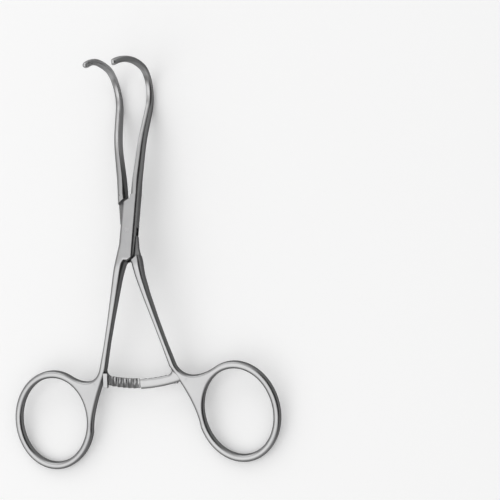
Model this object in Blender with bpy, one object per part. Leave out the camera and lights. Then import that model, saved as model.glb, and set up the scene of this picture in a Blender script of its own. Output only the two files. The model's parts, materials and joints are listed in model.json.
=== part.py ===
"""Neonatal clamp: two forged steel halves crossing in a box lock and held by one riveted pin.

Each half is one forging: finger ring, shank, ratchet arm, lock and serrated jaw. A half is drawn in
its own closed position, with the lock pin at the origin, +Y towards the jaws and +Z out of the front
face. The tongue half has its ring on +X and its jaw on -X, and the box half is its mirror image
outside the lock.
"""
import math

import bmesh
import bpy
from mathutils import Matrix, Vector

MM = 0.001

# Pose at rest: each half is turned this far open from the position where the jaws meet
HALF_OPENING = math.radians(4.6)

# Box lock: cheeks between two slanted seams, a tongue through the slot, and the riveted pin
LOCK_WIDTH = 5.5 * MM
LOCK_THICKNESS = 5.0 * MM
MIDLINE_GAP = 0.1 * MM
SEAM_DISTANCE = 8.7 * MM
SEAM_SLOPE = math.radians(35.0)
SEAM_REACH = SEAM_DISTANCE / math.cos(SEAM_SLOPE)
SEAM_GAP = 0.1 * MM
CUTTER_REACH = 2.0 * SEAM_DISTANCE
TONGUE_THICKNESS = 1.7 * MM
TONGUE_EYE_RADIUS = 2.35 * MM
TONGUE_SHOULDER = 2.4 * MM
TONGUE_CLEARANCE = 0.08 * MM
SLOT_SIDE_OPENING = 1.0 * MM
TONGUE_SIDE_END = 6.4 * MM
CHEEK_SIDE_END = 4.8 * MM
PIN_RADIUS = 1.0 * MM
PIN_CLEARANCE = 0.04 * MM
PIN_STEPS = 32
EYE_LOWER_ANGLE = math.radians(-42.0)
EYE_UPPER_ANGLE = math.radians(76.0)
EYE_STEPS = 12

# Ratchet arms: arcs about the pin that pass over each other; places along the handles follow from them.
# Handles are measured as if they were straightened into the lock's plane
ARM_RADIUS = 51.2 * MM
SHANK_OFFSET = -0.1 * MM
SHANK_SLOPE = 0.195
ARM_LINE_X = SHANK_OFFSET + SHANK_SLOPE * ARM_RADIUS
ARM_ROOT_X = ARM_LINE_X + 0.7 * MM
ARM_ROOT_HEIGHT = 3.2 * MM
ARM_TIP_HEIGHT = 3.3 * MM
ARM_TIP_OVERLAP = 3.5 * MM
ARM_THICKNESS = 0.75 * MM
ARM_FACE_GAP = 0.12 * MM
ARM_FILLET = 2.2 * MM
ARM_EDGE = 0.25 * MM
ARM_TIP_LAND = 0.35 * MM
ARM_TOOTH_COUNT = 5
ARM_TOOTH_PITCH = 1.85 * MM
ARM_TOOTH_HEIGHT = 0.6 * MM
ARM_TOOTH_CREST = 0.45 * MM
ARM_TOOTH_FLOOR = 0.45 * MM
ARM_TOOTH_STEEP = 0.15 * MM
ARM_ROOT_STEPS = 6
PAD_WIDTH = 1.6 * MM
PAD_HEIGHT = 4.9 * MM
PAD_RISE = 0.45 * MM
PAD_X = ARM_LINE_X - 2.1 * MM
PAD_ABOVE_ARM_EDGE = 0.1 * MM

# Shanks by distance below the pin: width on the box half, width on the slimmer tongue half, and how
# much nearer to the midline the tongue half's runs
SHANK_END = ARM_RADIUS - 4.9 * MM
SHANK_WIDTHS = ((SEAM_REACH, 3.3 * MM, 3.15 * MM, 0.0 * MM),
                (15.9 * MM, 2.9 * MM, 2.6 * MM, 0.35 * MM),
                (21.9 * MM, 2.5 * MM, 2.2 * MM, 0.6 * MM),
                (29.9 * MM, 2.05 * MM, 1.85 * MM, 0.7 * MM),
                (37.9 * MM, 1.85 * MM, 1.7 * MM, 0.65 * MM),
                (SHANK_END, 2.3 * MM, 2.1 * MM, 0.5 * MM))
BOX = 0
TONGUE = 1

# Finger rings, placed from the roots of the ratchet arms: (box half, tongue half)
RING_CENTRES_X = (ARM_LINE_X + 17.5 * MM, ARM_LINE_X + 18.1 * MM)
RING_CENTRES_Y = (-ARM_RADIUS - 13.85 * MM, -ARM_RADIUS - 12.9 * MM)
RING_HOLE_LENGTHS = (29.2 * MM, 28.8 * MM)
RING_HOLE_WIDTHS = (24.0 * MM, 23.1 * MM)
RING_BAND = 2.4 * MM
RING_LEAN = math.radians(3.0)
RING_STEPS = 52

# Web between shank and ring; the pairs are (box half, tongue half)
WEB_VALLEY_RING_ANGLE = math.radians(112.0)
WEB_VALLEY_HANDLES = ((ARM_LINE_X + 6.0 * MM, -ARM_RADIUS - 1.5 * MM),
                      (ARM_LINE_X + 1.3 * MM, -ARM_RADIUS - 0.6 * MM))
WEB_VALLEY_LIFT = (0.1 * MM, 1.1 * MM)
WEB_MEDIAL_RING_ANGLE = math.radians(190.0)
WEB_MEDIAL_HANDLES = ((ARM_LINE_X + 3.6 * MM, -ARM_RADIUS - 9.1 * MM),
                      (ARM_LINE_X - 0.9 * MM, -ARM_RADIUS - 0.2 * MM))
WEB_MEDIAL_SHIFT = (0.0 * MM, 0.9 * MM)
WEB_STEPS = 8

# Thickness of the forging from front to back, by distance from the pin
JAW_STUB_END = SEAM_REACH + 1.4 * MM
RING_THICKNESS = 3.0 * MM
THICKNESSES = ((JAW_STUB_END, LOCK_THICKNESS),
               (15.9 * MM, 4.3 * MM),
               (21.9 * MM, 3.7 * MM),
               (29.9 * MM, 3.2 * MM),
               (37.9 * MM, RING_THICKNESS))

# Below the lock both handles bend back by this angle, over a short arc
HANDLE_BEND = math.radians(16.7)
BEND_START = SEAM_REACH
BEND_LENGTH = 6.2 * MM
BEND_STEPS = 4

# Rounding of the long edges: how far it reaches in from the outline, by distance from the pin, and its
# share of the thickness
EDGE_INSETS = ((TONGUE_SHOULDER, 0.75 * MM),
               (SEAM_REACH, 0.95 * MM),
               (21.9 * MM, 0.75 * MM),
               (29.9 * MM, 0.7 * MM),
               (37.9 * MM, 0.6 * MM),
               (SHANK_END, 0.8 * MM),
               (ARM_RADIUS, 1.0 * MM))
EDGE_SHARE = 0.3
EDGE_STEPS = 3

# Side profile of the jaws: level, lean back, turn over an elbow, then reach forward and curl inwards
JAW_FLAT_END = 26.1 * MM
JAW_ROOT_RADIUS = 30.0 * MM
JAW_LEAN = math.radians(17.0)
JAW_STRAIGHT = 8.0 * MM
ELBOW_RADIUS = 9.7 * MM
ELBOW_END_HEADING = math.radians(88.0)
BLADE_LENGTH = 24.0 * MM
BLADE_END_HEADING = math.radians(123.0)

# Jaw sections by distance along the profile: gap to the midline when closed, width, depth
JAW_SECTIONS = ((JAW_STUB_END, 0.05 * MM, 2.7 * MM, LOCK_THICKNESS),
                (13.5 * MM, 0.06 * MM, 2.7 * MM, 4.95 * MM),
                (17.5 * MM, 0.26 * MM, 2.6 * MM, 4.7 * MM),
                (27.1 * MM, 0.83 * MM, 2.25 * MM, 4.2 * MM),
                (33.1 * MM, 1.0 * MM, 2.15 * MM, 4.0 * MM),
                (41.4 * MM, 1.05 * MM, 2.1 * MM, 3.7 * MM),
                (49.9 * MM, 0.93 * MM, 2.05 * MM, 2.6 * MM),
                (58.4 * MM, 0.81 * MM, 2.0 * MM, 2.15 * MM),
                (67.7 * MM, 0.73 * MM, 2.0 * MM, 2.05 * MM),
                (77.8 * MM, 0.33 * MM, 1.8 * MM, 2.0 * MM),
                (83.6 * MM, 0.08 * MM, 1.7 * MM, 1.95 * MM))
JAW_OVERLAP = 0.3 * MM
JAW_BLEND_LENGTH = 5.0 * MM
JAW_EASING = 1.5 * MM
JAW_SMOOTH_STEPS = 18

# Half of a jaw section, from the midline side to the back: shares of the width and of the depth
JAW_SECTION = ((0.0, 0.08), (0.0, 0.36), (0.06, 0.45), (0.24, 0.5), (0.68, 0.47), (0.93, 0.3))
STUB_SECTION = ((0.0, 0.08), (0.0, 0.19), (0.07, 0.37), (0.29, 0.5), (0.71, 0.5), (0.96, 0.33))

# Serration: two rows of cross teeth along a centre groove on each clamping face
SERRATION_LENGTH = 37.0 * MM
TOOTH_PITCH = 0.75 * MM
TOOTH_DEPTH = 0.22 * MM
GROOVE_DEPTH = 0.3 * MM
TIP_ROUNDING = 1.1 * MM
TIP_STEPS = 4


def clear_scene():
    for old in list(bpy.data.objects):
        bpy.data.objects.remove(old, do_unlink=True)


def steel(name, shade, roughness):
    material = bpy.data.materials.new(name)
    material.use_nodes = True
    shader = material.node_tree.nodes["Principled BSDF"]
    shader.inputs["Base Color"].default_value = (shade, shade, shade * 1.01, 1.0)
    shader.inputs["Metallic"].default_value = 1.0
    shader.inputs["Roughness"].default_value = roughness
    return material


def read_table(table, distance):
    """Straight-line reading of a table whose rows start with a distance."""
    if distance <= table[0][0]:
        return table[0][1:]
    for low, high in zip(table, table[1:]):
        if distance <= high[0]:
            share = (distance - low[0]) / (high[0] - low[0])
            return tuple(a + (b - a) * share for a, b in zip(low[1:], high[1:]))
    return table[-1][1:]


def read_smooth(table, distance):
    """Reading of a table with eased steps, so that a loft has no kinks at the rows."""
    samples = [read_table(table, distance + JAW_EASING * k / 2) for k in (-2, -1, 0, 1, 2)]
    return tuple(sum(column) / len(samples) for column in zip(*samples))


def bezier(start, handles, end, steps):
    points = []
    for k in range(1, steps):
        t = k / steps
        weights = ((1 - t) ** 3, 3 * t * (1 - t) ** 2, 3 * t * t * (1 - t), t ** 3)
        corners = (start, handles[0], handles[1], end)
        points.append(tuple(sum(w * c[axis] for w, c in zip(weights, corners)) for axis in (0, 1)))
    return points


def arc(radius, start, end, steps):
    points = []
    for k in range(steps + 1):
        angle = start + (end - start) * k / steps
        points.append((radius * math.cos(angle), radius * math.sin(angle)))
    return points


def ring_point(half, grow, angle):
    """Point of a half's ring hole, or of its ring's outer edge when grown by the band."""
    across = (RING_HOLE_WIDTHS[half] / 2 + grow) * math.cos(angle)
    along = (RING_HOLE_LENGTHS[half] / 2 + grow) * math.sin(angle)
    x = RING_CENTRES_X[half] + across * math.cos(RING_LEAN) - along * math.sin(RING_LEAN)
    y = RING_CENTRES_Y[half] + across * math.sin(RING_LEAN) + along * math.cos(RING_LEAN)
    return (x, y)


def shank_edges(depth, half):
    """Inner and outer edge of a half's shank, at a distance below the pin."""
    row = read_table(SHANK_WIDTHS, depth)
    inner = SHANK_OFFSET + SHANK_SLOPE * depth - row[BOX] / 2
    if half == TONGUE:
        inner -= row[-1]
    return inner, inner + row[half]


def thickness(y):
    return read_table(THICKNESSES, abs(y))[0]


def bend_handle(obj):
    """Bend the part of a flat-drawn half that lies below the lock."""
    for vertex in obj.data.vertices:
        along = -vertex.co.y - BEND_START
        if along > 0.0:
            run = min(along, BEND_LENGTH)
            turn = HANDLE_BEND * run / BEND_LENGTH
            chord = run * math.sin(turn / 2) / (turn / 2)
            rest = along - run
            y = -BEND_START - chord * math.cos(turn / 2) - rest * math.cos(turn)
            z = -chord * math.sin(turn / 2) - rest * math.sin(turn)
            height = vertex.co.z
            vertex.co.y = y - height * math.sin(turn)
            vertex.co.z = z + height * math.cos(turn)
    return obj


def handle_outline(half, lock_side):
    """Anticlockwise outline of ring, web and shank, closed at the lock by lock_side points."""
    bend_rows = {BEND_START + BEND_LENGTH * k / BEND_STEPS for k in range(BEND_STEPS + 1)}
    rows = sorted({row[0] for row in SHANK_WIDTHS} | bend_rows)
    inner = [(shank_edges(depth, half)[0], -depth) for depth in rows]
    inner[0] = (MIDLINE_GAP / 2, -SEAM_REACH)
    outer = [(shank_edges(depth, half)[1], -depth) for depth in rows]
    span = 2 * math.pi + WEB_VALLEY_RING_ANGLE - WEB_MEDIAL_RING_ANGLE
    ring = [ring_point(half, RING_BAND, WEB_MEDIAL_RING_ANGLE + span * k / RING_STEPS)
            for k in range(RING_STEPS + 1)]
    medial_handles = [(x + WEB_MEDIAL_SHIFT[half], y) for x, y in WEB_MEDIAL_HANDLES[::-1]]
    valley_handles = [(x, y + WEB_VALLEY_LIFT[half]) for x, y in WEB_VALLEY_HANDLES]
    medial = bezier(inner[-1], medial_handles, ring[0], WEB_STEPS)
    valley = bezier(ring[-1], valley_handles, outer[-1], WEB_STEPS)
    return inner + medial + ring + valley + outer[::-1] + lock_side


def ring_hole(half):
    return [ring_point(half, 0.0, -2 * math.pi * k / RING_STEPS) for k in range(RING_STEPS)]


def inward_normals(loop):
    """Mitred normals pointing to the left of an anticlockwise outline."""
    normals = []
    count = len(loop)
    for k in range(count):
        before = Vector(loop[k]) - Vector(loop[k - 1])
        after = Vector(loop[(k + 1) % count]) - Vector(loop[k])
        first = Vector((-before.y, before.x)).normalized()
        second = Vector((-after.y, after.x)).normalized()
        middle = (first + second).normalized()
        normals.append(middle / max(middle.dot(second), 0.5))
    return normals


def rounded_plate(name, outline, hole):
    """Plate of varying thickness with rounded long edges, closed by filled front and back faces."""
    bm = bmesh.new()
    quarter = [math.pi / 2 * k / EDGE_STEPS for k in range(EDGE_STEPS + 1)]
    levels = [(1 - math.cos(a), 1 - math.sin(a), 1) for a in quarter[::-1]]
    levels += [(1 - math.cos(a), 1 - math.sin(a), -1) for a in quarter]
    rims = {1: [], -1: []}
    for loop in (outline, hole):
        normals = inward_normals(loop)
        rows = []
        for inset, drop, face in levels:
            row = []
            for point, normal in zip(loop, normals):
                depth = thickness(point[1])
                z = face * depth * (0.5 - EDGE_SHARE * drop)
                spot = Vector(point) + normal * inset * read_table(EDGE_INSETS, abs(point[1]))[0]
                row.append(bm.verts.new((spot.x, spot.y, z)))
            rows.append(row)
        for upper, lower in zip(rows, rows[1:]):
            for k in range(len(loop)):
                bm.faces.new((upper[k - 1], lower[k - 1], lower[k], upper[k]))
        rims[1].append(rows[0])
        rims[-1].append(rows[-1])
    for rim_rows in rims.values():
        edges = [bm.edges.get((row[k - 1], row[k])) for row in rim_rows for k in range(len(row))]
        bmesh.ops.triangle_fill(bm, edges=edges, use_beauty=True)
    bmesh.ops.recalc_face_normals(bm, faces=bm.faces[:])
    return new_object(name, bm)


def prism(name, outline, low, high):
    bm = bmesh.new()
    bottom = [bm.verts.new((x, y, low)) for x, y in outline]
    face = bm.faces.new(bottom)
    raised = bmesh.ops.extrude_face_region(bm, geom=[face])["geom"]
    verts = [v for v in raised if isinstance(v, bmesh.types.BMVert)]
    bmesh.ops.translate(bm, verts=verts, vec=(0, 0, high - low))
    bmesh.ops.recalc_face_normals(bm, faces=bm.faces[:])
    return new_object(name, bm)


def rod(name, radius, length):
    bm = bmesh.new()
    bmesh.ops.create_cone(bm, cap_ends=True, segments=PIN_STEPS, radius1=radius, radius2=radius,
                          depth=length)
    return new_object(name, bm)


def loft(name, sections):
    """Closed skin through equal-sized rows of points."""
    bm = bmesh.new()
    rows = [[bm.verts.new(point) for point in section] for section in sections]
    for low, high in zip(rows, rows[1:]):
        for k in range(len(low)):
            bm.faces.new((low[k - 1], low[k], high[k], high[k - 1]))
    bm.faces.new(rows[0][::-1])
    bm.faces.new(rows[-1])
    bmesh.ops.recalc_face_normals(bm, faces=bm.faces[:])
    return new_object(name, bm)


def new_object(name, bm):
    mesh = bpy.data.meshes.new(name)
    bm.to_mesh(mesh)
    bm.free()
    obj = bpy.data.objects.new(name, mesh)
    bpy.context.scene.collection.objects.link(obj)
    return obj


def mirror_half(obj, flip_depth=False):
    """Turn a shape drawn for the tongue half into the box half's, about the midline."""
    factors = (-1, 1, -1) if flip_depth else (-1, 1, 1)
    obj.data.transform(Matrix.Diagonal(factors).to_4x4())
    if not flip_depth:
        obj.data.flip_normals()
    return obj


def combine(body, operation, tool):
    tool.hide_render = True
    tool.display_type = "WIRE"
    tool.parent = body.parent
    step = body.modifiers.new(operation.lower() + "_" + tool.name, "BOOLEAN")
    step.operation = operation
    step.object = tool
    step.solver = "EXACT"


def profile_point(distance):
    """Place and heading on the side profile; the heading is the angle from +Y towards +Z."""
    stretches = ((JAW_FLAT_END, 0.0),
                 (JAW_ROOT_RADIUS * JAW_LEAN, -JAW_LEAN),
                 (JAW_STRAIGHT, 0.0),
                 (ELBOW_RADIUS * (JAW_LEAN + ELBOW_END_HEADING), JAW_LEAN + ELBOW_END_HEADING),
                 (BLADE_LENGTH, BLADE_END_HEADING - ELBOW_END_HEADING))
    y = z = heading = 0.0
    left = distance
    for length, turn in stretches:
        run = min(left, length)
        swing = turn * run / length
        chord = run if abs(swing) < 1e-9 else run * math.sin(swing / 2) / (swing / 2)
        y += chord * math.cos(heading + swing / 2)
        z += chord * math.sin(heading + swing / 2)
        heading += swing
        left -= run
    return y, z, heading


def profile_length():
    return (JAW_FLAT_END + JAW_ROOT_RADIUS * JAW_LEAN + JAW_STRAIGHT
            + ELBOW_RADIUS * (JAW_LEAN + ELBOW_END_HEADING) + BLADE_LENGTH)


def jaw_section(distance, tooth, groove, shrink):
    """Section of a jaw: flat clamping face towards the midline, rounded back."""
    gap, width, depth = read_smooth(JAW_SECTIONS, distance)
    share = min(max(distance - JAW_STUB_END, 0.0) / JAW_BLEND_LENGTH, 1.0)
    half = [tuple(a + (b - a) * share for a, b in zip(first, last))
            for first, last in zip(STUB_SECTION, JAW_SECTION)]
    half[:2] = [(tooth / width, out) for across, out in half[:2]]
    lower = [(across, -out) for across, out in half]
    outline = half[::-1] + [(groove / width, 0.0)] + lower + [(1.0, 0.0)]
    y, z, heading = profile_point(distance)
    points = []
    for across, out in outline:
        x = -(gap + width * (0.5 + (across - 0.5) * (0.4 + 0.6 * shrink)))
        height = depth * out * shrink
        points.append((x, y - height * math.sin(heading), z + height * math.cos(heading)))
    return points


def jaw(name):
    """Jaw of the tongue half, from inside the lock to the rounded tip."""
    end = profile_length()
    tip_start = end - TIP_ROUNDING
    serrated_start = end - SERRATION_LENGTH
    sections = [jaw_section(JAW_STUB_END - JAW_OVERLAP, 0.0, 0.0, 1.0)]
    for k in range(JAW_SMOOTH_STEPS):
        distance = JAW_STUB_END + (serrated_start - JAW_STUB_END) * k / JAW_SMOOTH_STEPS
        sections.append(jaw_section(distance, 0.0, 0.0, 1.0))
    teeth = int((tip_start - serrated_start) / TOOTH_PITCH)
    for k in range(teeth):
        crest = serrated_start + k * TOOTH_PITCH
        sections.append(jaw_section(crest, 0.0, GROOVE_DEPTH if k else 0.0, 1.0))
        sections.append(jaw_section(crest + TOOTH_PITCH / 2, TOOTH_DEPTH, GROOVE_DEPTH, 1.0))
    for k in range(TIP_STEPS):
        share = math.sin(math.pi / 2 * k / TIP_STEPS)
        shrink = math.sqrt(1 - share * share)
        sections.append(jaw_section(tip_start + TIP_ROUNDING * share, 0.0, 0.0, shrink))
    return loft(name, sections)


def arm_section(swing, low, high, fillet_gap):
    """Section of a ratchet arm at an angle from the midline, toothed side at low."""
    share = (swing * ARM_RADIUS + ARM_TIP_OVERLAP) / (ARM_ROOT_X + ARM_TIP_OVERLAP)
    height = ARM_TIP_HEIGHT + (ARM_ROOT_HEIGHT - ARM_TIP_HEIGHT) * share
    near = max(0.0, ARM_FILLET - abs(fillet_gap))
    flare = ARM_FILLET - math.sqrt(ARM_FILLET ** 2 - near ** 2)
    inner = ARM_RADIUS - height / 2 - flare
    outer = ARM_RADIUS + height / 2
    outline = ((inner, low), (outer, low), (outer, high - ARM_EDGE), (outer - ARM_EDGE, high),
               (inner + ARM_EDGE, high), (inner, high - ARM_EDGE))
    return [(r * math.sin(swing), -r * math.cos(swing), z) for r, z in outline]


def ratchet_arm(name):
    """Arm of the tongue half: it passes in front, with its teeth facing back.

    The flank towards the tip slopes gently, so that the arms ride over each other as the rings close,
    and the flank towards the root is steep, so that the teeth then hold.
    """
    crest = ARM_FACE_GAP / 2
    valley = crest + ARM_TOOTH_HEIGHT
    high = valley + ARM_THICKNESS
    shank_edge = shank_edges(ARM_RADIUS, BOX)[0]
    stations = [(-ARM_TIP_OVERLAP, valley)]
    first_tooth = -ARM_TIP_OVERLAP + ARM_TIP_LAND
    for k in range(ARM_TOOTH_COUNT):
        start = first_tooth + k * ARM_TOOTH_PITCH
        steep = start + ARM_TOOTH_PITCH - ARM_TOOTH_STEEP
        stations += [(start, valley), (start + ARM_TOOTH_FLOOR, valley), (steep - ARM_TOOTH_CREST, crest),
                     (steep, crest)]
    toothed = first_tooth + ARM_TOOTH_COUNT * ARM_TOOTH_PITCH
    for k in range(ARM_ROOT_STEPS + 1):
        stations.append((toothed + (ARM_ROOT_X - toothed) * k / ARM_ROOT_STEPS, valley))
    sections = []
    for along, low in stations:
        sections.append(arm_section(along / ARM_RADIUS, low, high, shank_edge - along))
    return loft(name, sections)


def ratchet_pad(name):
    """Raised rectangle on the root of the arm, on the side that faces the other arm."""
    low = -(RING_THICKNESS / 2 + PAD_RISE)
    left = PAD_X - PAD_WIDTH / 2
    bottom = -ARM_RADIUS - ARM_ROOT_HEIGHT / 2 + PAD_ABOVE_ARM_EDGE
    outline = ((left, bottom), (left + PAD_WIDTH, bottom), (left + PAD_WIDTH, bottom + PAD_HEIGHT),
               (left, bottom + PAD_HEIGHT))
    return prism(name, outline, low, -RING_THICKNESS / 4)


def seam_band(name, grow, low, high):
    """Slanted band between the two seams of the lock, as wide as the cheeks plus grow on each side."""
    reach = CUTTER_REACH
    half = SEAM_DISTANCE + grow
    corners = ((-reach, -half), (reach, -half), (reach, half), (-reach, half))
    turn = Matrix.Rotation(SEAM_SLOPE, 2)
    return prism(name, [tuple(turn @ Vector(corner)) for corner in corners], low, high)


def seam_corner(name, sign):
    """Wedge beyond a seam that the box half leaves to the tongue half's shoulder."""
    reach = CUTTER_REACH
    slope = math.tan(SEAM_SLOPE)
    edge = MIDLINE_GAP / 2
    outline = ((edge, SEAM_REACH + slope * edge), (edge, reach), (-reach, reach),
               (-reach, SEAM_REACH - slope * reach))
    return prism(name, [(sign * x, sign * y) for x, y in outline], -LOCK_THICKNESS, LOCK_THICKNESS)


def crotch_point(grow):
    """Where the tongue's edge meets the upper seam, in the box."""
    return (-MIDLINE_GAP / 2 + grow, SEAM_REACH)


def tongue_outline():
    """Lock part of the tongue half's outline: up its outer side, round the jaw root, and back down."""
    crotch = crotch_point(0.0)
    half_width = LOCK_WIDTH / 2
    eye = arc(TONGUE_EYE_RADIUS, EYE_LOWER_ANGLE, EYE_UPPER_ANGLE, EYE_STEPS)
    right = [(half_width, -TONGUE_SIDE_END), (half_width, -TONGUE_SHOULDER)] + eye
    right += [crotch, (crotch[0], JAW_STUB_END)]
    left = [(-x, -y) for x, y in right]
    jaw_root = [(-read_table(JAW_SECTIONS, JAW_STUB_END)[1], JAW_STUB_END)]
    return right + jaw_root + left[:-2]


def box_outline():
    """Lock part of the box half's outline, drawn mirrored like the rest of a half."""
    half_width = LOCK_WIDTH / 2
    outer = read_table(JAW_SECTIONS, JAW_STUB_END)[1]
    return [(half_width, -CHEEK_SIDE_END), (half_width, JAW_STUB_END), (-outer, JAW_STUB_END),
            (-half_width, CHEEK_SIDE_END), (-half_width, -SEAM_REACH)]


def slot_outline():
    """Opening through the box for the tongue at every angle that the lock allows."""
    reach = CUTTER_REACH
    radius = TONGUE_EYE_RADIUS + TONGUE_CLEARANCE
    crotch = crotch_point(TONGUE_CLEARANCE)
    eye = arc(radius, math.asin(SLOT_SIDE_OPENING / radius), EYE_UPPER_ANGLE, EYE_STEPS)
    right = [(reach, -reach), (reach, SLOT_SIDE_OPENING)] + eye + [crotch, (crotch[0], reach)]
    return right + [(-x, -y) for x, y in right]


def build_tongue_half(axis):
    half = rounded_plate("tongue_half", handle_outline(TONGUE, tongue_outline()), ring_hole(TONGUE))
    bend_handle(half)
    half.parent = axis
    half.data.materials.append(steel("tongue_half_satin_steel", 0.56, 0.3))
    combine(half, "UNION", jaw("tongue_jaw"))
    combine(half, "UNION", bend_handle(ratchet_arm("tongue_arm")))
    combine(half, "UNION", bend_handle(ratchet_pad("tongue_pad")))
    inside = TONGUE_THICKNESS / 2
    combine(half, "DIFFERENCE", seam_band("front_cheek_room", SEAM_GAP, inside, LOCK_THICKNESS))
    combine(half, "DIFFERENCE", seam_band("back_cheek_room", SEAM_GAP, -LOCK_THICKNESS, -inside))
    combine(half, "DIFFERENCE", rod("tongue_bore", PIN_RADIUS + PIN_CLEARANCE, 2 * LOCK_THICKNESS))
    return half


def build_box_half(axis):
    half = mirror_half(rounded_plate("box_half", handle_outline(BOX, box_outline()), ring_hole(BOX)))
    bend_handle(half)
    half.parent = axis
    half.data.materials.append(steel("box_half_satin_steel", 0.55, 0.3))
    combine(half, "DIFFERENCE", seam_corner("upper_shoulder_room", 1))
    combine(half, "DIFFERENCE", seam_corner("lower_shoulder_room", -1))
    combine(half, "UNION", mirror_half(jaw("box_jaw")))
    combine(half, "UNION", bend_handle(mirror_half(ratchet_arm("box_arm"), flip_depth=True)))
    combine(half, "UNION", bend_handle(mirror_half(ratchet_pad("box_pad"), flip_depth=True)))
    slot = TONGUE_THICKNESS / 2 + TONGUE_CLEARANCE
    combine(half, "DIFFERENCE", prism("tongue_slot", slot_outline(), -slot, slot))
    combine(half, "DIFFERENCE", rod("box_bore", PIN_RADIUS + PIN_CLEARANCE, 2 * LOCK_THICKNESS))
    return half


def build_pin(axis):
    pin = rod("lock_pin", PIN_RADIUS, LOCK_THICKNESS)
    pin.parent = axis
    pin.data.materials.append(steel("lock_pin_satin_steel", 0.5, 0.32))
    return pin


def new_axis(name, parent, turn):
    axis = bpy.data.objects.new(name, None)
    bpy.context.scene.collection.objects.link(axis)
    axis.parent = parent
    axis.rotation_euler = (0, 0, turn)
    return axis


def world_points(objects):
    graph = bpy.context.evaluated_depsgraph_get()
    points = []
    for obj in objects:
        final = obj.evaluated_get(graph)
        points += [final.matrix_world @ vertex.co for vertex in final.data.vertices]
    return points


def lower_hull(points):
    """Lower edge of the outline seen from the side, as (y, z) corners from back to front."""
    hull = []
    for spot in sorted((p.y, p.z) for p in points):
        while len(hull) > 1:
            (ay, az), (by, bz) = hull[-2:]
            if (by - ay) * (spot[1] - az) - (bz - az) * (spot[0] - ay) > 0:
                break
            hull.pop()
        hull.append(spot)
    return hull


def lay_down(frame, objects):
    """Lie the clamp on its jaw elbows and ring ends, centred over the origin."""
    bpy.context.view_layer.update()
    hull = lower_hull(world_points(objects))
    back, front = next(pair for pair in zip(hull, hull[1:]) if pair[0][0] <= 0.0 < pair[1][0])
    tilt = math.atan2(front[1] - back[1], front[0] - back[0])
    frame.rotation_euler = (-tilt, 0, 0)
    bpy.context.view_layer.update()
    points = world_points(objects)
    spans = [(min(p[axis] for p in points), max(p[axis] for p in points)) for axis in range(3)]
    frame.location = (-sum(spans[0]) / 2, -sum(spans[1]) / 2, -spans[2][0])


def main():
    clear_scene()
    frame = new_axis("clamp", None, 0.0)
    box_axis = new_axis("box_half_axis", frame, -HALF_OPENING)
    tongue_axis = new_axis("tongue_half_axis", frame, HALF_OPENING)
    lay_down(frame, [build_box_half(box_axis), build_tongue_half(tongue_axis), build_pin(box_axis)])


main()
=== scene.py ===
import json
import math

import bmesh
import bpy
from mathutils import Euler, Matrix, Vector
from mathutils.geometry import interpolate_bezier


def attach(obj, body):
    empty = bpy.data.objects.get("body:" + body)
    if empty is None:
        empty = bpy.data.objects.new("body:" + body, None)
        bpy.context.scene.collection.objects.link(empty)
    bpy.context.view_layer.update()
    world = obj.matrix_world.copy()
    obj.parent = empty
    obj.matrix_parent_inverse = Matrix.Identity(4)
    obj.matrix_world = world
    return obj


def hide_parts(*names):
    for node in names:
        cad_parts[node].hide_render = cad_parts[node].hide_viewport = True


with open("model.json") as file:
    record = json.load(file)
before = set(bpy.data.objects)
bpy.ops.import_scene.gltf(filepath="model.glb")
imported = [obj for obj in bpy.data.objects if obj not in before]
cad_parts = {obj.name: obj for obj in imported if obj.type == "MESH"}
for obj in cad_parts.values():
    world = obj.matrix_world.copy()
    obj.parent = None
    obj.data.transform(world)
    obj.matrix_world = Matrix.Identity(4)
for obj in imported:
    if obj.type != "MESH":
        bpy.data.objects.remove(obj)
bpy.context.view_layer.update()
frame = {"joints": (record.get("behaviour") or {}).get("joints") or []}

# Camera: it looks down on the clamp, a little from the right, as in the photograph.
camera = bpy.data.objects.new("camera", bpy.data.cameras.new("camera"))
camera.data.lens = 93.6
camera.data.sensor_width = 36.0
camera.location = (0.15334, -0.02775, 0.41388)
camera.rotation_euler = Euler((math.radians(3.3488), math.radians(15.7529), math.radians(-2.7147)))
bpy.context.scene.collection.objects.link(camera)
bpy.context.scene.camera = camera
bpy.context.scene.view_settings.view_transform = "Standard"


# Floor: a plain pale sheet that runs far past the picture and keeps the clamp's soft shadow.
def plain_sheet(name, size, place):
    bm = bmesh.new()
    bmesh.ops.create_grid(bm, x_segments=1, y_segments=1, size=size)
    bm.transform(place)
    mesh = bpy.data.meshes.new(name)
    bm.to_mesh(mesh)
    bm.free()
    sheet = bpy.data.objects.new(name, mesh)
    bpy.context.scene.collection.objects.link(sheet)
    return sheet


paper = bpy.data.materials.new("pale_paper")
paper.use_nodes = True
paper.node_tree.nodes["Principled BSDF"].inputs["Base Color"].default_value = (0.96, 0.96, 0.96, 1.0)
paper.node_tree.nodes["Principled BSDF"].inputs["Roughness"].default_value = 0.9
paper.node_tree.nodes["Principled BSDF"].inputs["Emission Color"].default_value = (1.0, 1.0, 1.0, 1.0)
# the sheet looks a little whiter, to the eye and in the steel, and lights nothing by it
seen = paper.node_tree.nodes.new("ShaderNodeLightPath")
seen_or_mirrored = paper.node_tree.nodes.new("ShaderNodeMath")
seen_or_mirrored.operation = "MAXIMUM"
paper.node_tree.links.new(seen.outputs["Is Camera Ray"], seen_or_mirrored.inputs[0])
paper.node_tree.links.new(seen.outputs["Is Glossy Ray"], seen_or_mirrored.inputs[1])
seen_at_all = paper.node_tree.nodes.new("ShaderNodeMath")
seen_at_all.operation = "MAXIMUM"
paper.node_tree.links.new(seen_or_mirrored.outputs[0], seen_at_all.inputs[0])
paper.node_tree.links.new(seen.outputs["Is Transmission Ray"], seen_at_all.inputs[1])
whitening = paper.node_tree.nodes.new("ShaderNodeMath")
whitening.operation = "MULTIPLY"
whitening.inputs[1].default_value = 0.05
paper.node_tree.links.new(seen_at_all.outputs[0], whitening.inputs[0])
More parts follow.
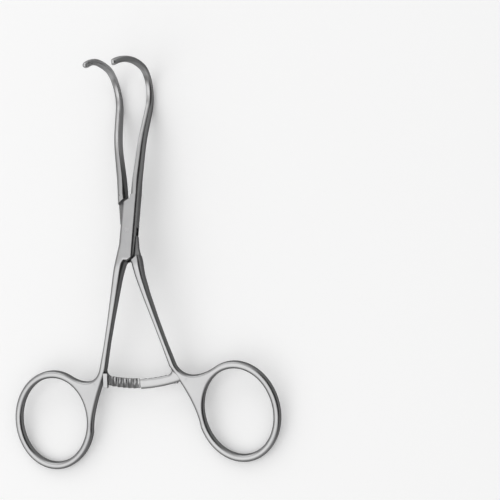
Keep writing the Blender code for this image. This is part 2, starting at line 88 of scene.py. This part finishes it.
paper.node_tree.links.new(whitening.outputs[0], paper.node_tree.nodes["Principled BSDF"].inputs["Emission Strength"])
plain_sheet("floor", 4.0, Matrix.Translation((0, 0, -0.0002))).data.materials.append(paper)

# Studio: an even pale room, a wide soft lamp overhead to the left, and a dark card that only
# the steel's reflections see, as it is set up beside polished tools.
world = bpy.data.worlds.new("pale_room")
bpy.context.scene.world = world
world.use_nodes = True
sky_nodes, sky_links = world.node_tree.nodes, world.node_tree.links
direction = sky_nodes.new("ShaderNodeTexCoord")
height_of = sky_nodes.new("ShaderNodeSeparateXYZ")
room_glow = sky_nodes.new("ShaderNodeValToRGB")
sky_links.new(direction.outputs["Generated"], height_of.inputs["Vector"])
sky_links.new(height_of.outputs["Z"], room_glow.inputs["Fac"])
sky_links.new(room_glow.outputs["Color"], sky_nodes["Background"].inputs["Color"])
glow_steps = room_glow.color_ramp.elements
for position, glow in ((0.0, 0.26), (0.35, 0.42), (0.7, 0.74), (1.0, 1.0)):
    step = glow_steps[0] if position == 0.0 else glow_steps[-1] if position == 1.0 else glow_steps.new(position)
    step.position = position
    step.color = (glow, glow, glow, 1.0)
sky_nodes["Background"].inputs["Strength"].default_value = 1.0


def soft_lamp(name, size, watts, place, aim):
    lamp = bpy.data.lights.new(name, "AREA")
    lamp.shape = "RECTANGLE"
    lamp.size, lamp.size_y = size
    lamp.energy = watts
    holder = bpy.data.objects.new(name, lamp)
    holder.location = place
    holder.rotation_euler = (Vector(aim) - Vector(place)).to_track_quat("-Z", "Y").to_euler()
    bpy.context.scene.collection.objects.link(holder)


soft_lamp("overhead_lamp", (0.9, 1.2), 2.2, (-0.33, -0.3, 0.85), (0, 0, 0))
soft_lamp("far_lamp", (0.8, 0.6), 1.5, (-0.36, 0.86, 0.52), (0, 0.05, 0))

card_black = bpy.data.materials.new("card_black")
card_black.use_nodes = True
card_black.node_tree.nodes["Principled BSDF"].inputs["Base Color"].default_value = (0.01, 0.01, 0.01, 1)
card_black.node_tree.nodes["Principled BSDF"].inputs["Roughness"].default_value = 1.0
card_black.node_tree.nodes["Principled BSDF"].inputs["Specular IOR Level"].default_value = 0.0
beside = Matrix.Translation((0.55, 0, 0.6)) @ Matrix.Rotation(math.radians(90), 4, "Y")
card = plain_sheet("right_card", 0.6, beside)
card.data.materials.append(card_black)
card.visible_camera = False
card.visible_diffuse = False
card.visible_shadow = False

# Box half: the forging with the slotted lock, the left ring and the right jaw. Stainless steel,
# drop forged, ground and satin finished; the lower arm of the ratchet springs from its shank.
MM = 0.001
hinge = frame["joints"][0]
out_of_lock = Vector(hinge["axis"]).normalized()
lock_across = Vector((1, 0, 0))
lock_place = Matrix((lock_across, out_of_lock.cross(lock_across), out_of_lock)).transposed().to_4x4()
lock_place = Matrix.Translation(hinge["pos_m"]) @ lock_place @ Matrix.Scale(MM, 4)
HALF_OPENING = math.radians(4.6)
LOCK_THICKNESS = 5.0
SEAM_DISTANCE = 8.7
SEAM_SLOPE = math.radians(35)
SEAM_REACH = SEAM_DISTANCE / math.cos(SEAM_SLOPE)
JAW_START = SEAM_REACH + 1.4
ARM_RADIUS = 51.2
ARM_LINE = -0.1 + 0.195 * ARM_RADIUS
HANDLE_BEND = math.radians(16.7)
BEND_LENGTH = 6.2


def between(rows, distance):
    """Sizes at a distance, read between the rows that the forging was measured at."""
    low = rows[0]
    for high in rows[1:]:
        if distance <= high[0]:
            share = max(distance - low[0], 0.0) / (high[0] - low[0])
            return [a + (b - a) * share for a, b in zip(low[1:], high[1:])]
        low = high
    return list(rows[-1][1:])


# width of the box half's shank, of the tongue half's, and how far the latter sits nearer the middle
SHANK_ROWS = ((SEAM_REACH, 3.3, 3.15, 0.0), (15.9, 2.9, 2.6, 0.35), (21.9, 2.5, 2.2, 0.6),
              (29.9, 2.05, 1.85, 0.7), (37.9, 1.85, 1.7, 0.65), (ARM_RADIUS - 4.9, 2.3, 2.1, 0.5))
FORGING_THICKNESS = ((JAW_START, LOCK_THICKNESS), (15.9, 4.3), (21.9, 3.7), (29.9, 3.2), (37.9, 3.0))
# distance, rounding of the box half's long edges, of the tongue half's
ROUNDING = ((2.4, 1.15, 0.75), (SEAM_REACH, 1.1, 1.0), (21.9, 0.85, 0.8), (29.9, 0.75, 0.72), (37.9, 0.7, 0.68),
            (ARM_RADIUS - 4.9, 0.9, 0.9), (ARM_RADIUS + 2, 1.12, 1.12))
WIDEST_ROUNDING = 1.15
RINGS = {"box": (17.5, -13.85, 24.0, 29.2, 0.1, 0.0), "tongue": (18.1, -12.9, 23.1, 28.8, 1.1, 0.9)}
RING_BAND = 2.4
RING_LEAN = math.radians(3)


def shank_sides(depth, half):
    box_width, tongue_width, nearer = between(SHANK_ROWS, depth)
    inner = -0.1 + 0.195 * depth - box_width / 2
    if half == "box":
        return inner, inner + box_width
    return inner - nearer, inner - nearer + tongue_width


def ring_curve(half, grow, start, end, steps):
    x, y, width, length = RINGS[half][:4]
    turn = Matrix.Rotation(RING_LEAN, 2)
    centre = Vector((ARM_LINE + x, -ARM_RADIUS + y))
    angles = [start + (end - start) * k / steps for k in range(steps + 1)]
    return [centre + turn @ Vector(((width / 2 + grow) * math.cos(a), (length / 2 + grow) * math.sin(a)))
            for a in angles]


def handle_edge(half, lock_side):
    """Outline of a handle: up the medial side, round the ring, back up the shank, and the lock's side."""
    x, y = ARM_LINE, -ARM_RADIUS
    valley_lift, medial_shift = RINGS[half][4:]
    end = SHANK_ROWS[-1][0]
    rows = [SEAM_REACH + (end - SEAM_REACH) * k / 40 for k in range(41)]
    inner = [Vector((shank_sides(row, half)[0], -row)) for row in rows]
    inner[0] = Vector((0.05, -SEAM_REACH))
    outer = [Vector((shank_sides(row, half)[1], -row)) for row in reversed(rows)]
    ring = ring_curve(half, RING_BAND, math.radians(190), math.radians(472), 130)
    medial = interpolate_bezier(inner[-1], Vector((x - 0.9 + medial_shift, y - 0.2)),
                                Vector((x + 3.6 + medial_shift, y - 9.1)), ring[0], 26)[1:-1]
    valley = interpolate_bezier(ring[-1], Vector((x + 6.0, y - 1.5 + valley_lift)),
                                Vector((x + 1.3, y - 0.6 + valley_lift)), outer[0], 26)[1:-1]
    return inner + medial + ring + valley + outer + [Vector(point) for point in lock_side]


def loose_object(name, bm):
    mesh = bpy.data.meshes.new(name)
    bm.to_mesh(mesh)
    bm.free()
    made = bpy.data.objects.new(name, mesh)
    bpy.context.scene.collection.objects.link(made)
    return made


def settle(made):
    """Turn an object with its modifiers back into a bmesh."""
    bm = bmesh.new()
    bm.from_object(made, bpy.context.evaluated_depsgraph_get())
    bpy.data.objects.remove(made)
    return bm


def forge_handle(half, lock_side):
    """Flat blank with its ring hole, rounded along the long edges and thickened towards the lock."""
    bm = bmesh.new()
    rims = []
    for loop in (handle_edge(half, lock_side), ring_curve(half, 0.0, 0.0, -2 * math.pi, 130)[:-1]):
        corners = [bm.verts.new((point.x, point.y, -1.7)) for point in loop]
        rims += [bm.edges.new((corners[k - 1], corners[k])) for k in range(len(corners))]
    bmesh.ops.triangle_fill(bm, edges=rims, use_beauty=True)
    made = bmesh.ops.extrude_face_region(bm, geom=bm.faces[:])["geom"]
    bmesh.ops.translate(bm, verts=[v for v in made if isinstance(v, bmesh.types.BMVert)], vec=(0, 0, 3.4))
    bmesh.ops.recalc_face_normals(bm, faces=bm.faces[:])
    weight = bm.edges.layers.float.new("bevel_weight_edge")
    for edge in bm.edges:
        level = abs(edge.verts[0].co.z - edge.verts[1].co.z) < 0.1
        at_jaw = min(vertex.co.y for vertex in edge.verts) > JAW_START - 0.01
        if level and not at_jaw and edge.calc_face_angle(0.0) > 1.0:
            middle = abs(edge.verts[0].co.y + edge.verts[1].co.y) / 2
            edge[weight] = between(ROUNDING, middle)[half == "tongue"] / WIDEST_ROUNDING
    blank = loose_object("blank", bm)
    rounding = blank.modifiers.new("rounding", "BEVEL")
    rounding.limit_method = "WEIGHT"
    rounding.width = WIDEST_ROUNDING
    rounding.segments = 7
    rounding.use_clamp_overlap = False
    bm = settle(blank)
    for k in range(61):
        line = JAW_START - 0.4 - (38.5 + JAW_START) * k / 60
        bmesh.ops.bisect_plane(bm, geom=bm.verts[:] + bm.edges[:] + bm.faces[:], dist=1e-5,
                               plane_co=(0, line, 0), plane_no=(0, 1, 0))
    for vertex in bm.verts:
        vertex.co.z *= between(FORGING_THICKNESS, abs(vertex.co.y))[0] / 3.4
    return bm


def bend_back(bm):
    """The handle leaves the lock's plane by a short bend towards the back."""
    for vertex in bm.verts:
        along = -vertex.co.y - SEAM_REACH
        if along > 0.0:
            run = min(along, BEND_LENGTH)
            turn = HANDLE_BEND * run / BEND_LENGTH
            chord = run * math.sin(turn / 2) / (turn / 2)
            height = vertex.co.z
            vertex.co.y = (-SEAM_REACH - chord * math.cos(turn / 2) - (along - run) * math.cos(turn)
                           - height * math.sin(turn))
            vertex.co.z = (-chord * math.sin(turn / 2) - (along - run) * math.sin(turn)
                           + height * math.cos(turn))


def slab(name, outline, low, high):
    bm = bmesh.new()
    face = bm.faces.new([bm.verts.new((x, y, low)) for x, y in outline])
    made = bmesh.ops.extrude_face_region(bm, geom=[face])["geom"]
    bmesh.ops.translate(bm, verts=[v for v in made if isinstance(v, bmesh.types.BMVert)],
                        vec=(0, 0, high - low))
    bmesh.ops.recalc_face_normals(bm, faces=bm.faces[:])
    return loose_object(name, bm)


def round_bar(name, radius, length, sides):
    bm = bmesh.new()
    bmesh.ops.create_cone(bm, cap_ends=True, segments=sides, radius1=radius, radius2=radius, depth=length)
    return loose_object(name, bm)


def cut_away(bm, tools):
    """Machine the forging: each tool's shape is taken away."""
    body = loose_object("body", bm)
    for tool in tools:
        cut = body.modifiers.new(tool.name, "BOOLEAN")
        cut.operation = "DIFFERENCE"
        cut.solver = "EXACT"
        cut.object = tool
    made = settle(body)
    for tool in tools:
        bpy.data.objects.remove(tool)
    return made


def draw_out(sections):
    """Draw a bar out of its first section, one short step after another."""
    bm = bmesh.new()
    end = bm.faces.new([bm.verts.new(point) for point in sections[0]])
    for section in sections[1:]:
        made = bmesh.ops.extrude_face_region(bm, geom=[end])["geom"]
        end = next(part for part in made if isinstance(part, bmesh.types.BMFace))
        for vertex, point in zip(end.verts, section):
            vertex.co = point
    bmesh.ops.recalc_face_normals(bm, faces=bm.faces[:])
    return bm


# the jaws' side profile: level, lean back, over the elbow, then forward and slowly inwards
JAW_FLAT, JAW_LEAN, JAW_STRAIGHT = 26.1 - 0.0, math.radians(17), 8.0
JAW_PATH = ((26.1, 0.0), (30 * JAW_LEAN, -JAW_LEAN), (8.0, 0.0),
            (9.7 * (JAW_LEAN + math.radians(88)), JAW_LEAN + math.radians(88)), (24.0, math.radians(35)))
JAW_LENGTH = sum(length for length, turn in JAW_PATH)
# distance along the jaw: gap to the middle when closed, width, depth
JAW_ROWS = ((JAW_START, 0.05, 2.7, 5.0), (13.5, 0.06, 2.7, 4.95), (17.5, 0.26, 2.6, 4.7), (27.1, 0.83, 2.25, 4.2),
            (33.1, 1.0, 2.15, 4.0), (41.4, 1.05, 2.1, 3.7), (49.9, 0.93, 2.05, 2.6), (58.4, 0.81, 2.0, 2.15),
            (67.7, 0.73, 2.0, 2.05), (77.8, 0.33, 1.8, 2.0), (JAW_LENGTH, 0.08, 1.7, 1.95))
SERRATED = 37.0
TOOTH_PITCH = 0.75
TIP_ROUNDING = 1.1


def jaw_place(distance):
    y = z = heading = 0.0
    left = distance
    for length, turn in JAW_PATH:
        run = min(left, length)
        swing = turn * run / length
        chord = run if abs(swing) < 1e-9 else run * math.sin(swing / 2) / (swing / 2)
        y += chord * math.cos(heading + swing / 2)
        z += chord * math.sin(heading + swing / 2)
        heading += swing
        left -= run
    return y, z, heading


def jaw_slice(distance, tooth, groove, shrink):
    """One slice of a jaw: a flat clamping face with two rows of teeth, and a rounded back."""
    samples = [between(JAW_ROWS, distance + step) for step in (-1.5, -0.75, 0, 0.75, 1.5)]
    gap, width, depth = [sum(column) / len(samples) for column in zip(*samples)]
    grown = min(max((distance - JAW_START) / 6.0, 0.0), 1.0)
    face_round = 0.37 + (0.14 - 0.37) * grown
    back_round = 0.37 + (0.54 - 0.37) * grown
    face_drop = 0.3 + (0.14 - 0.3) * grown
    back_drop = 0.3 + (0.5 - 0.3) * grown
    upper = [(tooth * share / width, out) for share, out in ((0.0, 0.05), (1.0, 0.09), (1.0, 0.19), (1.0, 0.3))]
    upper = [(across, out * (0.5 - face_drop) / 0.36) for across, out in upper]
    for k in range(1, 7):
        angle = math.pi / 2 * k / 6
        upper.append((face_round * (1 - math.cos(angle)), 0.5 - face_drop * (1 - math.sin(angle))))
    for k in range(9):
        angle = math.pi / 2 * k / 8
        upper.append((1 - back_round * (1 - math.sin(angle)), 0.5 - back_drop * (1 - math.cos(angle))))
    outline = [(groove / width, 0.0)] + upper + [(across, -out) for across, out in reversed(upper)]
    y, z, heading = jaw_place(distance)
    points = []
    for across, out in outline:
        x = -(gap + width * (0.5 + (across - 0.5) * (0.12 + 0.88 * shrink)))
        height = depth * out * shrink
        points.append((x, y - height * math.sin(heading), z + height * math.cos(heading)))
    return points


def draw_jaw():
    tip = JAW_LENGTH - TIP_ROUNDING
    first_tooth = JAW_LENGTH - SERRATED
    sections = [jaw_slice(JAW_START + (first_tooth - JAW_START) * k / 44, 0, 0, 1) for k in range(44)]
    for k in range(int((tip - first_tooth) / TOOTH_PITCH)):
        crest = first_tooth + k * TOOTH_PITCH
        groove = 0.3 if k else 0.0
        for share, tooth in ((0.0, 0.0), (0.28, 0.0), (0.5, 0.24), (0.78, 0.24)):
            sections.append(jaw_slice(crest + share * TOOTH_PITCH, tooth, groove, 1))
    for k in range(12):
        share = math.sin(math.pi / 2 * k / 12)
        sections.append(jaw_slice(tip + TIP_ROUNDING * share, 0, 0, math.sqrt(1 - share * share)))
    return draw_out(sections)


ARM_TIP_PASS = 3.5
ARM_TOOTH_PITCH = 1.85
# the arm's back is crowned: how far in from each edge, and how high
ARM_ROUNDING = 1.35
ARM_CROWN = 0.58


def arm_slice(along, low, high, shank_edge):
    """One slice of a ratchet arm at a place along its arc, toothed side at low."""
    share = (along + ARM_TIP_PASS) / (ARM_LINE + 0.7 + ARM_TIP_PASS)
    height = 3.3 + (3.2 - 3.3) * share
    near = max(0.0, 2.2 - abs(shank_edge - along))
    inner = ARM_RADIUS - height / 2 - (2.2 - math.sqrt(2.2 ** 2 - near ** 2))
    outer = ARM_RADIUS + height / 2
    outline = [(inner + 0.12, low), (outer - 0.12, low), (outer, low + 0.12)]
    for k in range(8):
        angle = math.pi / 2 * k / 7
        outline.append((outer - ARM_ROUNDING * (1 - math.cos(angle)), high - ARM_CROWN * (1 - math.sin(angle))))
    for k in range(8):
        angle = math.pi / 2 * k / 7
        outline.append((inner + ARM_ROUNDING * (1 - math.sin(angle)), high - ARM_CROWN * (1 - math.cos(angle))))
    outline.append((inner, low + 0.12))
    turn = along / ARM_RADIUS
    return [(r * math.sin(turn), -r * math.cos(turn), z) for r, z in outline]


def draw_arm():
    crest, floor = 0.06, 0.66
    high = floor + 0.75
    places = [(-ARM_TIP_PASS, floor)]
    for k in range(5):
        start = -ARM_TIP_PASS + 0.35 + k * ARM_TOOTH_PITCH
        places += [(start, floor), (start + 0.45, floor), (start + 1.25, crest), (start + 1.7, crest)]
    toothed = -ARM_TIP_PASS + 0.35 + 5 * ARM_TOOTH_PITCH
    root = ARM_LINE + 0.7
    places += [(toothed + (root - toothed) * k / 24, floor) for k in range(25)]
    shank_edge = shank_sides(ARM_RADIUS, "box")[0]
    return draw_out([arm_slice(along, low, high, shank_edge) for along, low in places])


def stamp_pad():
    """Raised rectangle on the arm's root, facing the other arm."""
    left = ARM_LINE - 2.1 - 0.8
    foot = -ARM_RADIUS - 1.6 + 0.1
    block = slab("pad", ((left, foot), (left + 1.6, foot), (left + 1.6, foot + 4.9), (left, foot + 4.9)),
                 -1.95, -0.75)
    easing = block.modifiers.new("easing", "BEVEL")
    easing.width = 0.16
    easing.segments = 3
    return settle(block)


def turned_over(bm, front_to_back=False):
    """The box half mirrors the tongue half; its arm and pad are turned over instead."""
    bmesh.ops.transform(bm, matrix=Matrix.Diagonal((-1, 1, -1 if front_to_back else 1, 1)), verts=bm.verts[:])
    if not front_to_back:
        bmesh.ops.reverse_faces(bm, faces=bm.faces[:])
    return bm


# where the painted shade on the jaws' clamping faces begins to ease, over what length, and the share of it that
# stays
CLAMPING_START = 14.0
CLAMPING_BLEND = 14.0
CLAMPING_SHADE_SHARE = 0.65


def painted_shade_share(face):
    """How much painted shade a face gets: more the further it turns away from front and back, and full inside the
    lock's slot.
    """
    middle = face.calc_center_median()
    if abs(middle.z) < 0.94 and abs(middle.y) < SEAM_REACH:
        return 1.0
    if middle.y > CLAMPING_START and face.normal.x * middle.x < 0.0:
        # the jaws' clamping faces get less painted shade, so they look lighter than the jaws' outer sides
        shade_easing = min((middle.y - CLAMPING_START) / CLAMPING_BLEND, 1.0)
        return (1.0 - (1.0 - CLAMPING_SHADE_SHARE) * shade_easing) * abs(face.normal.x)
    if middle.y > 0.0:
        return abs(face.normal.x)
    return math.sqrt(max(0.0, 1.0 - face.normal.z ** 2))


def one_forging(name, parts, turn):
    """Bring a half's parts together in one mesh, turned open about the pin, with crisp edges kept."""
    whole = bmesh.new()
    for part in parts:
        mesh = bpy.data.meshes.new("part")
        part.to_mesh(mesh)
        part.free()
        whole.from_mesh(mesh)
        bpy.data.meshes.remove(mesh)
    whole.normal_update()
    # each face stores the share of painted shade that the steel darkens it by
    painted_shade = whole.faces.layers.float.new("painted_shade")
    for face in whole.faces:
        face[painted_shade] = painted_shade_share(face)
    whole.transform(lock_place @ Matrix.Rotation(turn, 4, "Z"))
    bmesh.ops.remove_doubles(whole, verts=whole.verts[:], dist=1e-8)
    for face in whole.faces:
        face.smooth = True
    for edge in whole.edges:
        edge.smooth = edge.calc_face_angle(0.0) < math.radians(32)
    made = loose_object(name, whole)
    made.modifiers.new("even_shading", "WEIGHTED_NORMAL").keep_sharp = True
    return made


def satin_steel(name, shade, roughness):
    """Stainless steel with the fine, even grain of a satin finish and faint cloudy variation, and painted shade on
    the faces that turn sideways and inside the lock.
    """
    steel = bpy.data.materials.new(name)
    steel.use_nodes = True
    nodes, links = steel.node_tree.nodes, steel.node_tree.links
    shader = nodes["Principled BSDF"]
    shader.inputs["Metallic"].default_value = 1.0
    shader.inputs["Specular Tint"].default_value = (0.3, 0.3, 0.3, 1.0)
    place = nodes.new("ShaderNodeTexCoord")
    clouds = nodes.new("ShaderNodeTexNoise")
    clouds.inputs["Scale"].default_value = 90.0
    clouds.inputs["Detail"].default_value = 3.0
    links.new(place.outputs["Object"], clouds.inputs["Vector"])
    tint = nodes.new("ShaderNodeValToRGB")
    tint.color_ramp.elements[0].position = 0.3
    tint.color_ramp.elements[0].color = (shade * 0.93, shade * 0.93, shade * 0.94, 1)
    tint.color_ramp.elements[1].position = 0.7
    tint.color_ramp.elements[1].color = (shade * 1.05, shade * 1.05, shade * 1.05, 1)
    links.new(clouds.outputs["Fac"], tint.inputs["Fac"])
    # painted shade: the faces that turn sideways and the inside of the lock get a darker base colour
    painted_shade = nodes.new("ShaderNodeAttribute")
    painted_shade.attribute_name = "painted_shade"
    painted_shade_factor = nodes.new("ShaderNodeMapRange")
    painted_shade_factor.inputs["From Min"].default_value = 0.5
    painted_shade_factor.inputs["From Max"].default_value = 0.85
    painted_shade_factor.inputs["To Min"].default_value = 1.0
    painted_shade_factor.inputs["To Max"].default_value = 0.42
    links.new(painted_shade.outputs["Fac"], painted_shade_factor.inputs["Value"])
    darkened = nodes.new("ShaderNodeVectorMath")
    darkened.operation = "SCALE"
    links.new(tint.outputs["Color"], darkened.inputs["Vector"])
    links.new(painted_shade_factor.outputs["Result"], darkened.inputs["Scale"])
    links.new(darkened.outputs["Vector"], shader.inputs["Base Color"])
    grain = nodes.new("ShaderNodeTexNoise")
    grain.inputs["Scale"].default_value = 2600.0
    grain.inputs["Detail"].default_value = 2.0
    links.new(place.outputs["Object"], grain.inputs["Vector"])
    sheen = nodes.new("ShaderNodeMapRange")
    sheen.inputs["To Min"].default_value = roughness - 0.05
    sheen.inputs["To Max"].default_value = roughness + 0.07
    links.new(grain.outputs["Fac"], sheen.inputs["Value"])
    links.new(sheen.outputs["Result"], shader.inputs["Roughness"])
    relief = nodes.new("ShaderNodeBump")
    relief.inputs["Strength"].default_value = 0.05
    relief.inputs["Distance"].default_value = 0.00002
    links.new(grain.outputs["Fac"], relief.inputs["Height"])
    links.new(relief.outputs["Normal"], shader.inputs["Normal"])
    return steel


cheek_side = [(2.75, -4.8), (2.75, JAW_START), (-2.75, JAW_START), (-2.75, 4.8), (-2.75, -SEAM_REACH)]
box_forging = turned_over(forge_handle("box", cheek_side))
far = 2 * SEAM_DISTANCE
slope = math.tan(SEAM_SLOPE)
shoulder_wedge = ((0.05, SEAM_REACH + slope * 0.05), (0.05, far), (-far, far), (-far, SEAM_REACH - slope * far))


def swept_slot():
    """Room through the lock for the tongue at every opening of the clamp."""
    radius = 2.43
    start = math.asin(1.0 / radius)
    eye = [(radius * math.cos(start + (math.radians(76) - start) * k / 24),
            radius * math.sin(start + (math.radians(76) - start) * k / 24)) for k in range(25)]
    right = [(far, -far), (far, 1.0)] + eye + [(0.03, SEAM_REACH), (0.03, far)]
    return right + [(-x, -y) for x, y in right]


box_forging = cut_away(box_forging, [
    slab("upper_shoulder_room", shoulder_wedge, -5, 5),
    slab("lower_shoulder_room", [(-x, -y) for x, y in shoulder_wedge], -5, 5),
    slab("tongue_slot", swept_slot(), -0.93, 0.93),
    round_bar("box_bore", 1.012, 10, 96)])
bend_back(box_forging)
box_arm = turned_over(draw_arm(), front_to_back=True)
box_pad = turned_over(stamp_pad(), front_to_back=True)
bend_back(box_arm)
bend_back(box_pad)
box_half = one_forging("box_half_forging", [box_forging, turned_over(draw_jaw()), box_arm, box_pad],
                       -HALF_OPENING)
box_half.data.materials.append(satin_steel("box_half_steel", 0.46, 0.3))
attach(box_half, "root")
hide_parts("box_half")

# Tongue half: the forging that passes through the slot, with the right ring and the left jaw.
# The same steel; its shoulders meet the cheeks along the slanted seams of the lock.
eye_ring = [(2.35 * math.cos(math.radians(-42 + 118 * k / 24)), 2.35 * math.sin(math.radians(-42 + 118 * k / 24)))
            for k in range(25)]
tongue_side = [(2.75, -6.4), (2.75, -2.4)] + eye_ring + [(-0.05, SEAM_REACH), (-0.05, JAW_START)]
tongue_side += [(-2.75, JAW_START)] + [(-x, -y) for x, y in tongue_side[:-2]]


def cheek_room(name, low, high):
    """Slanted band that the box half's cheek fills, with the seams' gap on both sides."""
    reach = SEAM_DISTANCE + 0.3
    turn = Matrix.Rotation(SEAM_SLOPE, 2)
    corners = ((-far, -reach), (far, -reach), (far, reach), (-far, reach))
    return slab(name, [turn @ Vector(corner) for corner in corners], low, high)


tongue_forging = cut_away(forge_handle("tongue", tongue_side), [
    cheek_room("front_cheek_room", 0.85, 5),
    cheek_room("back_cheek_room", -5, -0.85),
    round_bar("tongue_bore", 1.012, 10, 96)])
bend_back(tongue_forging)
tongue_arm = draw_arm()
tongue_pad = stamp_pad()
bend_back(tongue_arm)
bend_back(tongue_pad)
tongue_half = one_forging("tongue_half_forging", [tongue_forging, draw_jaw(), tongue_arm, tongue_pad],
                          HALF_OPENING)
tongue_half.data.materials.append(satin_steel("tongue_half_steel", 0.46, 0.3))
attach(tongue_half, "tongue_side")
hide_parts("tongue_half")

# Lock pin: a short steel rivet through both halves, ground flush with the cheeks.
pin_bar = settle(round_bar("pin", 1.0, LOCK_THICKNESS, 96))
bmesh.ops.bevel(pin_bar, geom=[edge for edge in pin_bar.edges if edge.calc_face_angle(0.0) > 1.0],
                offset=0.02, segments=2, profile=0.5, affect="EDGES", material=-1)
pin = one_forging("lock_pin_rivet", [pin_bar], -HALF_OPENING)
pin.data.materials.append(satin_steel("lock_pin_steel", 0.48, 0.28))
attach(pin, "root")
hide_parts("lock_pin")
